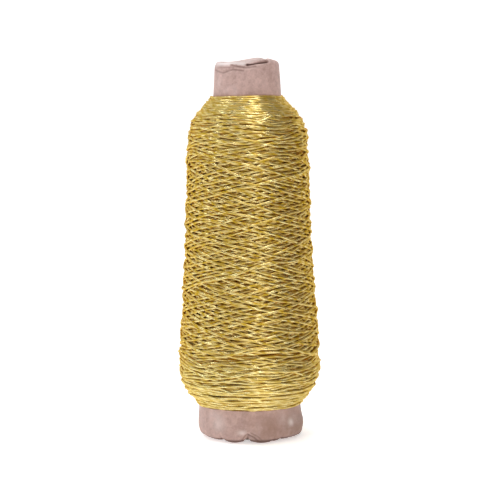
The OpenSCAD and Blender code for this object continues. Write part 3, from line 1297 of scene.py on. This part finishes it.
    def press(self, piece: bpy.types.Object, profile: SheetProfile, depth: float) -> None:
        """Presses the pleats, creases, dents and the lap into a spun sheet.

        Args:
            piece: The spun sheet.
            profile: Section that it was spun from.
            depth: Depth of its outer face below the outermost one.
        """
        count = len(piece.data.vertices)
        flat = np.empty(3 * count)
        piece.data.vertices.foreach_get("co", flat)
        place = flat.reshape(count, 3)
        radius = np.hypot(place[:, 0], place[:, 1])
        index = self._nearest(radius, place[:, 2], profile.at_depth(depth))
        azimuth = np.arctan2(place[:, 0], -place[:, 1])
        out_r, out_z = profile.outward[index].T
        outside = smooth_step(out_r - self.outside_facing)
        shape = SheetPoints(azimuth, profile.places[index, 0], profile.places[index, 1],
                            profile.stations[index], outside, self.wall.height / 2)
        pressed, creased, sheen = np.zeros(count), np.zeros(count), np.zeros(count)
        for mark in self.marks:
            deep, crease = mark.press(shape)
            pressed += deep
            creased, sheen = np.maximum(creased, crease), np.minimum(sheen, crease)
        # Painted shade on the downward faces of the base's rolled corner.
        corner = smooth_step(1 + shape.station / self.base_roll)
        downward = smooth_step((-out_z - self.edge_facing) / self.edge_fade)
        creased = np.maximum(creased, self.edge_shade * corner * downward)
        pressed -= self._lap(shape) + self._ripple(shape)
        moved = radius - pressed * out_r
        place[:, 0], place[:, 1] = moved * np.sin(azimuth), -moved * np.cos(azimuth)
        place[:, 2] = np.maximum(place[:, 2] - pressed * out_z, depth)
        piece.data.vertices.foreach_set("co", place.ravel())
        # Stores painted shade (positive) and painted sheen (negative) on the points.
        fold = piece.data.attributes.new(self.cover_paper.fold_map, "FLOAT", "POINT")
        fold.data.foreach_set("value", np.where(creased > 0, creased, sheen))
        piece.data.update()

    def _lap(self, sheet: SheetPoints) -> np.ndarray:
        """Height of the glued lap, which narrows with the cone.

        Args:
            sheet: Points of the sheet.

        Returns:
            One height for each point.
        """
        half = self.lap_width / 2 * sheet.radius / self.wall.base_radius
        inside = (half - np.abs(sheet.arc_from(self.lap_azimuth))) / self.lap_edge
        return self.lap_step * smooth_step(inside) * sheet.outside

    def _ripple(self, sheet: SheetPoints) -> np.ndarray:
        """Slight unevenness of the hand-turned ends.

        Args:
            sheet: Points of the sheet.

        Returns:
            One height for each point.
        """
        total = sum(np.sin(wave.count * sheet.azimuth + wave.rate * sheet.z + wave.phase)
                    for wave in self.waves)
        return self.ripple * total / len(self.waves) * sheet.outside

    def sheet(self, name: str, depth: float, thickness: float, steps: int,
              coarser: float = 1.0) -> bpy.types.Object:
        """Makes one folded sheet.

        Args:
            name: Name of the piece.
            depth: Depth of its outer face below the outermost one.
            thickness: Thickness of the sheet.
            steps: Stretches around the axis.
            coarser: How much wider apart its rows are than the cover's.

        Returns:
            The sheet, with its wall thickness.
        """
        profile = self.profile(coarser * self.fine, coarser * self.finest)
        piece = spun(name, profile.at_depth(depth), steps)
        self.press(piece, profile, depth)
        wall = piece.modifiers.new("thickness", "SOLIDIFY")
        wall.thickness, wall.offset = thickness, -1.0
        bpy.ops.object.modifier_apply(modifier=wall.name)
        bpy.ops.object.shade_smooth()
        return piece

    def build(self) -> None:
        """Builds the cover and the board, and dresses the liner."""
        cover = self.sheet("cover_sheet", 0.0, self.cover_t, self.cover_steps)
        cover.data.materials.append(self.cover_paper.material())
        replace_with(cover, ["cover_ply"])
        board = self.sheet("board_sheet", self.cover_t, self.board_t, self.board_steps,
                           self.board_coarser)
        board.data.materials.append(self.board_paper.material())
        replace_with(board, ["board_ply"])
        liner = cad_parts["liner_ply"]
        liner.data.materials.clear()
        liner.data.materials.append(self.liner_paper.material())
        LOG.info("liner_ply: dressed")


@dataclass
class ThreadPackage:
    """The wound thread: a plain core and the laid turns that show."""

    outline: PackageOutline
    guide: WindingGuide = WindingGuide()
    thread: ThreadSize = ThreadSize()
    core_steps: int = 180
    core_rows: int = 70
    core_sunk: float = 0.3 * MM
    every: int = 7
    sides: int = 8
    most_stretches: int = 11500
    bake_aspect: float = 0.45
    bake_margin: float = 0.01
    bake_gap: float = 0.1
    gold: GoldThread = GoldThread()
    inner: InnerThread = InnerThread()

    def build(self) -> None:
        """Builds the core and the thread."""
        winder = Winder(self.outline, self.guide, self.thread)
        core = self.core(winder)
        core.data.materials.append(self.inner.material())
        replace_with(core, ["thread_package"])
        route = winder.lay()
        points = route.points(self.every)
        material = self.gold.material()
        stretches = len(points) - 1
        count = math.ceil(stretches / self.most_stretches)
        cuts = np.linspace(0, stretches, count + 1).astype(int)
        lengths = np.concatenate([[0.0], np.cumsum(np.linalg.norm(np.diff(points, axis=0), axis=1))])
        turns = (route.angle[-1] - route.angle[0]) / TURN
        LOG.info("thread: %.1f m in %d turns", lengths[-1], round(turns))
        frames = self.frames(points)
        for k, (a, b) in enumerate(zip(cuts[:-1], cuts[1:])):
            part = slice(a, b + 1)
            piece = self.tube(f"winding_{k + 1}", points[part], [f[part] for f in frames], lengths[part])
            piece.data.materials.append(material)
            replace_with(piece, ["outer_winding"])

    def core(self, winder: Winder) -> bpy.types.Object:
        """Spins the body that stands for the inner turns.

        Args:
            winder: The winder, which knows the core's depth.

        Returns:
            The closed core.
        """
        s = np.linspace(winder.length, 0.0, self.core_rows)
        outer = np.stack(winder.place(s, -winder.depth(s)), axis=1)
        z = outer[-2:0:-1, 1]
        paper = np.stack([self.outline.wall.radius(z) - self.core_sunk, z], axis=1)
        piece = spun("thread_core", np.concatenate([outer, paper, outer[:1]]), self.core_steps)
        bpy.ops.object.shade_smooth()
        return piece

    @staticmethod
    def frames(points: np.ndarray) -> tuple[np.ndarray, np.ndarray]:
        """Directions across the thread at each point.

        Args:
            points: Places along the thread.

        Returns:
            Unit vectors sideways and away from the axis.
        """
        heading = np.gradient(points, axis=0)
        heading /= np.linalg.norm(heading, axis=1, keepdims=True)
        away = points * (1.0, 1.0, 0.0)
        away = away - heading * (away * heading).sum(axis=1, keepdims=True)
        away /= np.linalg.norm(away, axis=1, keepdims=True)
        return np.cross(heading, away), away

    def tube(self, name: str, points: np.ndarray, frames: Sequence[np.ndarray],
             lengths: np.ndarray) -> bpy.types.Object:
        """Makes a stretch of the thread as a closed tube.

        Args:
            name: Name of the piece.
            points: Places along the thread.
            frames: Directions across it.
            lengths: Length of the thread up to each point.

        Returns:
            The piece, with a map along the thread and a map to bake on.
        """
        n, rings = self.sides, len(points)
        turn = np.arange(n) * TURN / n
        sideways, away = frames
        wide = self.thread.width / 2 * np.cos(turn)[None, :, None] * sideways[:, None]
        thick = self.thread.thickness / 2 * np.sin(turn)[None, :, None] * away[:, None]
        places = points[:, None] + wide + thick
        ring, side = np.meshgrid(np.arange(rings - 1), np.arange(n), indexing="ij")
        ring, side = ring.ravel(), side.ravel()
        corner_ring = np.stack([ring, ring + 1, ring + 1, ring], axis=1)
        corner_side = np.stack([side, side, side + 1, side + 1], axis=1)
        quads = corner_ring * n + corner_side % n
        caps = [np.arange(n), (rings - 1) * n + np.arange(n)[::-1]]
        mesh = bpy.data.meshes.new(name)
        mesh.vertices.add(rings * n)
        mesh.vertices.foreach_set("co", places.ravel())
        loops = np.concatenate([quads.ravel(), *caps])
        mesh.loops.add(len(loops))
        mesh.loops.foreach_set("vertex_index", loops)
        starts = np.concatenate([np.arange(0, quads.size, quads.shape[1]), quads.size + np.array([0, n])])
        mesh.polygons.add(len(starts))
        mesh.polygons.foreach_set("loop_start", starts)
        mesh.polygons.foreach_set("use_smooth", np.ones(len(starts), dtype=bool))
        mesh.update(calc_edges=True)
        spare = np.zeros((2 * n, 2))
        twists = lengths[corner_ring] / self.thread.twist
        along = np.stack([twists, corner_side / n], axis=-1).reshape(-1, 2)
        self.add_map(mesh, self.gold.map_name, np.concatenate([along, spare]))
        skin = self.bake_places(corner_ring, corner_side, rings - 1)
        self.add_map(mesh, BAKE_MAP, np.concatenate([skin, spare]))
        mesh.validate()
        piece = bpy.data.objects.new(name, mesh)
        bpy.context.collection.objects.link(piece)
        return piece

    def bake_places(self, corner_ring: np.ndarray, corner_side: np.ndarray, stretches: int) -> np.ndarray:
        """Lays the thread's skin out in level rows that don't overlap.

        Args:
            corner_ring: Ring of each corner of each face.
            corner_side: Side of each corner.
            stretches: Number of stretches in the piece.

        Returns:
            A place on the map for each corner.
        """
        rows = math.ceil(math.sqrt(stretches * self.bake_aspect))
        per_row = math.ceil(stretches / rows)
        row = corner_ring[:, :1] // per_row
        along = (corner_ring - row * per_row) / per_row
        u = self.bake_margin + (1 - 2 * self.bake_margin) * along
        up = self.bake_gap + (1 - 2 * self.bake_gap) * corner_side / self.sides
        v = (row + 1 + up) / (rows + 1)
        return np.stack([u, v], axis=-1).reshape(-1, 2)

    @staticmethod
    def add_map(mesh: bpy.types.Mesh, name: str, places: np.ndarray) -> None:
        """Adds a UV map with a place for each corner."""
        mesh.uv_layers.new(name=name, do_init=False).data.foreach_set("uv", places.ravel())


class Tint(Enum):
    """Colours of the studio's lights."""

    WHITE = (1.0, 1.0, 1.0)
    COOL = (0.90, 0.96, 1.0)
    WARM = (1.0, 0.5, 0.15)


@dataclass(frozen=True)
class Softbox:
    """A soft light, placed by degrees to the right of the front and degrees up."""

    name: str
    azimuth: float
    elevation: float
    distance: float
    size: Range
    power: float
    tint: Tint

    def hang(self, aim: Vector) -> None:
        """Hangs the light.

        Args:
            aim: Place that it faces.
        """
        a, e = math.radians(self.azimuth), math.radians(self.elevation)
        away = Vector((math.sin(a) * math.cos(e), -math.cos(a) * math.cos(e), math.sin(e)))
        data = bpy.data.lights.new(self.name, "AREA")
        data.shape, data.energy = "RECTANGLE", self.power
        data.size, data.size_y = self.size
        data.color = self.tint.value
        light = bpy.data.objects.new(self.name, data)
        light.location = aim + away * self.distance
        light.rotation_euler = away.to_track_quat("Z", "Y").to_euler()
        bpy.context.collection.objects.link(light)


@dataclass(frozen=True)
class SweepSheet:
    """White sheet that glows, less to the right of the cone and most in a spot before it."""

    name: str = "white_sweep"
    tones: Range = (0.93, 0.96)
    tone_grain: Grain = Grain(3.0, shown=(0.2, 0.8))
    roughness: float = 0.9
    strength: float = 0.6
    far_glow: float = 1.0
    far_zone: Range = (0.15, 0.8)
    near_glow: float = 1.08
    side_glow: float = 0.5
    side_zone: Range = (-0.06, 0.09)
    spot: Point = (22.0 * MM, -60.0 * MM)
    spot_size: float = 28.0 * MM
    spot_glow: float = 4.5

    @staticmethod
    def grey(level: float) -> Colour:
        """A grey of one level."""
        return level, level, level

    def material(self) -> bpy.types.Material:
        """Builds the material.

        Returns:
            The finished material.
        """
        graph = Graph(self.name)
        place = graph.object_place()
        tone = graph.noise(place, self.tone_grain).between(*self.tone_grain.shown)
        x, y = graph.axis(place, "X"), graph.axis(place, "Y")
        across, along = x - self.spot[0], y - self.spot[1]
        spot = (across * across + along * along).math("SQRT").between(self.spot_size, 0.0)
        glow = graph.mix(x.between(*self.side_zone), self.grey(self.near_glow), self.grey(self.side_glow))
        glow = graph.mix(spot, glow, self.grey(self.spot_glow))
        glow = graph.mix(y.between(*self.far_zone), glow, self.grey(self.far_glow))
        dark, light = self.tones
        return graph.surface({
            "Base Color": graph.mix(tone, self.grey(dark), self.grey(light)),
            "Roughness": self.roughness,
            "Emission Color": glow,
            "Emission Strength": self.strength,
        })


@dataclass
class Studio:
    """White sweep, soft lights and the camera at the photograph's angle."""

    sweep_width: float = 6.0
    sweep_depth: float = 1.6
    sweep_height: float = 3.0
    sweep_bend: float = 0.7
    bend_segments: int = 16
    sweep_sheet: SweepSheet = SweepSheet()
    aim: Place = (0.0, 0.0, 85.0 * MM)
    lights: tuple[Softbox, ...] = (
        Softbox("key_left", -86.0, 58.0, 1.2, (0.34, 0.5), 4.4, Tint.COOL),
        Softbox("key_right", 18.0, 30.0, 1.3, (0.22, 0.9), 2.7, Tint.WHITE),
        Softbox("fill_right", 95.0, 15.0, 1.4, (0.9, 0.9), 0.3, Tint.WARM),
        Softbox("side_left", -98.0, 18.0, 1.3, (1.1, 0.9), 2.1, Tint.COOL),
        Softbox("top", 30.0, 76.0, 1.2, (0.6, 0.7), 7.8, Tint.WHITE),
    )
    sky_tint: Colour = (1.0, 0.86, 0.68)
    sky: float = 0.09
    distance: float = 0.750
    height: float = 0.147
    lens: float = 119.4
    sensor: float = 36.0
    pitch: float = math.radians(4.75)
    yaw: float = math.radians(0.05)
    roll: float = math.radians(-0.5)

    def build(self) -> None:
        """Builds the sweep, the lights and the camera."""
        self.sweep()
        for light in self.lights:
            light.hang(Vector(self.aim))
        self.world()
        self.camera()

    def sweep(self) -> None:
        """Makes the floor and the backdrop from one bent sheet."""
        bpy.ops.object.select_all(action="DESELECT")
        bpy.ops.mesh.primitive_plane_add(size=self.sweep_width)
        sheet = bpy.context.object
        sheet.name = sheet.data.name = "white_sweep"
        bpy.ops.object.mode_set(mode="EDIT")
        bpy.ops.mesh.select_mode(type="EDGE")
        bpy.ops.mesh.select_all(action="DESELECT")
        bpy.ops.object.mode_set(mode="OBJECT")
        half = self.sweep_width / 2
        for vertex in sheet.data.vertices:
            vertex.co.y = self.sweep_depth if vertex.co.y > 0 else -half
        for edge in sheet.data.edges:
            edge.select = all(sheet.data.vertices[v].co.y > 0 for v in edge.vertices)
        bpy.ops.object.mode_set(mode="EDIT")
        bpy.ops.mesh.extrude_region_move(TRANSFORM_OT_translate={"value": (0.0, 0.0, self.sweep_height)})
        bpy.ops.object.mode_set(mode="OBJECT")
        bend = sheet.modifiers.new("bend", "BEVEL")
        bend.width, bend.segments = self.sweep_bend, self.bend_segments
        bpy.ops.object.modifier_apply(modifier=bend.name)
        bpy.ops.object.shade_smooth()
        sheet.data.materials.append(self.sweep_sheet.material())

    def world(self) -> None:
        """Lights the scene evenly from all around."""
        world = bpy.data.worlds.new("studio")
        world.use_nodes = True
        sky = world.node_tree.nodes["Background"].inputs
        sky["Color"].default_value = (*self.sky_tint, 1.0)
        sky["Strength"].default_value = self.sky
        bpy.context.scene.world = world

    def camera(self) -> None:
        """Places the camera."""
        data = bpy.data.cameras.new("camera")
        data.lens, data.sensor_width = self.lens, self.sensor
        camera = bpy.data.objects.new("camera", data)
        camera.location = (0.0, -self.distance, self.height)
        turn = Euler((math.pi / 2 - self.pitch, 0.0, -self.yaw), "XYZ").to_matrix()
        camera.rotation_euler = (turn @ Euler((0.0, 0.0, self.roll)).to_matrix()).to_euler()
        bpy.context.collection.objects.link(camera)
        bpy.context.scene.camera = camera
        bpy.context.scene.view_settings.view_transform = "Standard"


def main() -> None:
    """Builds the pieces in order."""
    logging.basicConfig(level=logging.INFO, format="%(message)s")
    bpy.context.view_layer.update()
    low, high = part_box("cover_ply")
    wall = ConeWall(high.z - low.z)
    PaperCone(wall).build()
    ThreadPackage(PackageOutline(wall)).build()
    Studio().build()


if __name__ == "__main__":
    main()
